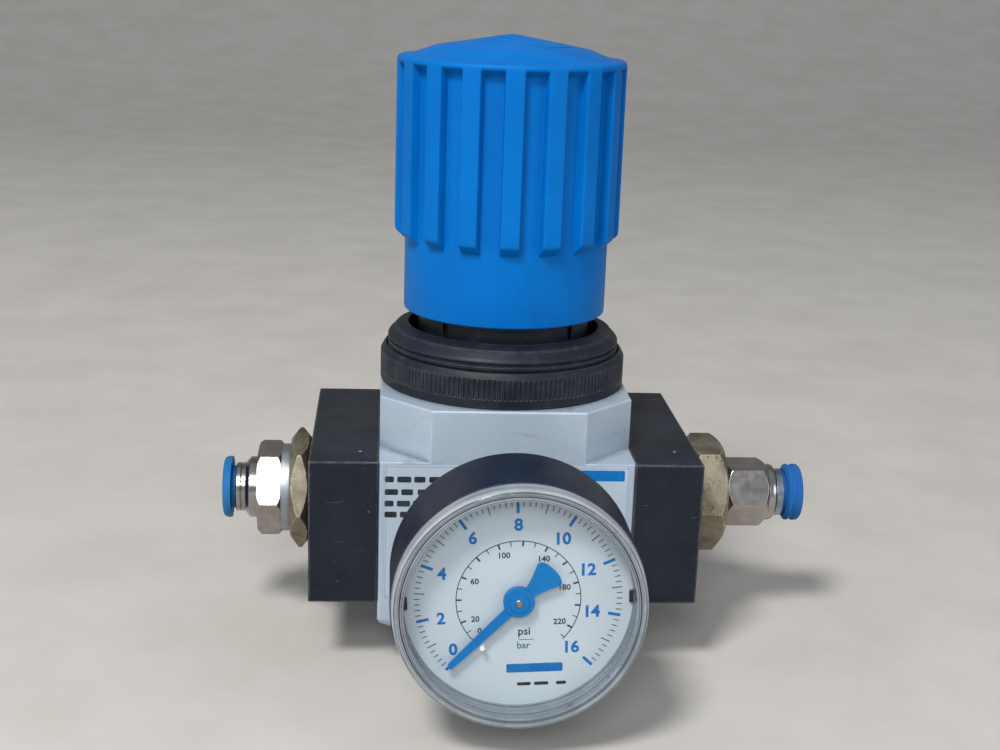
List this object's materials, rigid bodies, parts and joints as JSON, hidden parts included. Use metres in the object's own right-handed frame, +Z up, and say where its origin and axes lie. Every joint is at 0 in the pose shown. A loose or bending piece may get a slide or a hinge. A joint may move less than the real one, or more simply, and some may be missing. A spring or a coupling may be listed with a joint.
{
  "type": "air pressure regulator",
  "caption": "Air pressure regulator: square die-cast body with side port plates, push-in tube fittings, threaded panel neck, ribbed lift-and-turn knob and a round front pressure gauge.",
  "frame": {"origin": "centre of the flat underside of the bottom plug, on the regulator's vertical axis", "axes": "+Z up along the adjusting spindle, +X the direction of air flow from inlet to outlet, the gauge looks along -Y"},
  "size_m": [0.1341, 0.1029, 0.136],
  "materials": {
    "housing_paint": "die-cast, silver grey satin coat",
    "plate_black": "black anodised, satin",
    "screw_steel": "zinc plated",
    "seal_rubber": "matt black",
    "brass": "tarnished",
    "nickel": "nickel plated, polished",
    "washer_aluminium": "satin",
    "collar_zinc": "zinc plated, bluish",
    "blue_plastic": "moulded, satin gloss",
    "release_blue_light": "moulded",
    "release_blue": "moulded",
    "black_plastic": "moulded, dusty",
    "case_black": "moulded, satin",
    "label_film": "printed film",
    "window_clear": "clear plastic",
    "dial_white": "white enamel, printed",
    "spring_steel": "drawn wire",
    "diaphragm_rubber": "fabric reinforced",
    "valve_brass": "machined",
    "plate_aluminium": "machined",
    "pin_white": "moulded",
    "pointer_blue": "enamel"
  },
  "bodies": {
    "regulator": {"housing": "housing_paint", "bottom_plug": "black_plastic", "bottom_plug_o_ring": "seal_rubber", "rear_port_plug": "nickel", "rear_port_seal": "seal_rubber", "front_label": "label_film", "inlet_plate": "plate_black", "outlet_plate": "plate_black", "inlet_plate_screws": "screw_steel", "outlet_plate_screws": "screw_steel", "inlet_plate_o_ring": "seal_rubber", "outlet_plate_o_ring": "seal_rubber", "inlet_reducer": "brass", "outlet_reducer": "brass", "inlet_reducer_seal": "seal_rubber", "outlet_reducer_seal": "seal_rubber", "inlet_fitting_body": "nickel", "inlet_fitting_washer": "washer_aluminium", "inlet_tube_seal": "seal_rubber", "inlet_grab_ring": "spring_steel", "outlet_fitting_body": "nickel", "outlet_fitting_collar": "collar_zinc", "outlet_tube_seal": "seal_rubber", "outlet_grab_ring": "spring_steel", "bonnet": "black_plastic", "spindle_washer": "valve_brass", "main_spring": "spring_steel", "diaphragm": "diaphragm_rubber", "valve_seat": "valve_brass", "poppet_o_ring": "seal_rubber", "valve_spring": "spring_steel", "gauge_case": "case_black", "gauge_stem": "brass", "gauge_seal_ring": "seal_rubber", "gauge_bourdon_tube": "valve_brass", "gauge_tip_block": "valve_brass", "gauge_movement_frame": "valve_brass", "gauge_movement_screws": "screw_steel", "gauge_hairspring": "valve_brass", "gauge_dial": "dial_white", "gauge_stop_pin": "pin_white", "gauge_window": "window_clear"},
    "spindle": {"spindle": "screw_steel", "spindle_circlip": "spring_steel"},
    "knob": {"knob": "blue_plastic", "knob_clip": "spring_steel"},
    "spring_seat": {"spring_seat": "valve_brass"},
    "valve": {"spring_plate": "plate_aluminium", "diaphragm_disc": "plate_aluminium", "diaphragm_nut": "screw_steel", "valve_stem": "screw_steel", "valve_poppet": "valve_brass", "poppet_seal": "seal_rubber"},
    "inlet_release": {"inlet_release_ring": "release_blue_light"},
    "outlet_release": {"outlet_release_ring": "release_blue"},
    "panel_nut": {"panel_nut": "black_plastic"},
    "gauge_sector": {"gauge_sector": "valve_brass"},
    "gauge_link": {"gauge_link": "valve_brass"},
    "pointer": {"gauge_pinion": "screw_steel", "gauge_pointer": "pointer_blue"}
  },
  "joints": [
    {"name": "spindle_turn", "type": "hinge", "parent": "regulator", "child": "spindle", "pos_m": [0, 0, 0.1], "axis": [0, 0, -1], "range_deg": [0, 2880]},
    {"name": "knob_lock", "type": "slide", "parent": "spindle", "child": "knob", "axis": [0, 0, -1], "range_m": [0, 0.0032]},
    {"name": "spring_seat_travel", "type": "slide", "parent": "regulator", "child": "spring_seat", "axis": [0, 0, -1], "range_m": [0, 0.012], "deforming": ["main_spring"]},
    {"name": "valve_stroke", "type": "slide", "parent": "regulator", "child": "valve", "axis": [0, 0, -1], "range_m": [0, 0.0015], "stiffness_N_per_m": 320, "springref_m": -0.0006, "deforming": ["valve_spring", "diaphragm"]},
    {"name": "inlet_release_push", "type": "slide", "parent": "regulator", "child": "inlet_release", "axis": [1, 0, 0], "range_m": [0, 0.0008], "stiffness_N_per_m": 400},
    {"name": "outlet_release_push", "type": "slide", "parent": "regulator", "child": "outlet_release", "axis": [-1, 0, 0], "range_m": [0, 0.0007], "stiffness_N_per_m": 400},
    {"name": "panel_nut_travel", "type": "slide", "parent": "regulator", "child": "panel_nut", "axis": [0, 0, 1], "range_m": [0, 0.005]},
    {"name": "sector_turn", "type": "hinge", "parent": "regulator", "child": "gauge_sector", "pos_m": [0.00046, -0.0588, 0.02101], "axis": [0, -1, 0], "range_deg": [0, 30], "stiffness_Nm_per_rad": 0.001, "springref_deg": -5.73},
    {"name": "link_turn", "type": "hinge", "parent": "gauge_sector", "child": "gauge_link", "pos_m": [-0.00054, -0.0598, 0.01652], "axis": [0, -1, 0], "range_deg": [-30, 0]},
    {"name": "pointer_turn", "type": "hinge", "parent": "regulator", "child": "pointer", "pos_m": [0, -0.0655, 0.032], "axis": [0, -1, 0], "range_deg": [-270, 0]}
  ],
  "couplings": [
    {"joint": "spindle_turn", "follows": "spring_seat_travel", "rad_per_m": 4188.8},
    {"joint": "pointer_turn", "follows": "sector_turn", "ratio": -9},
    {"joint": "link_turn", "follows": "sector_turn", "ratio": -1}
  ]
}
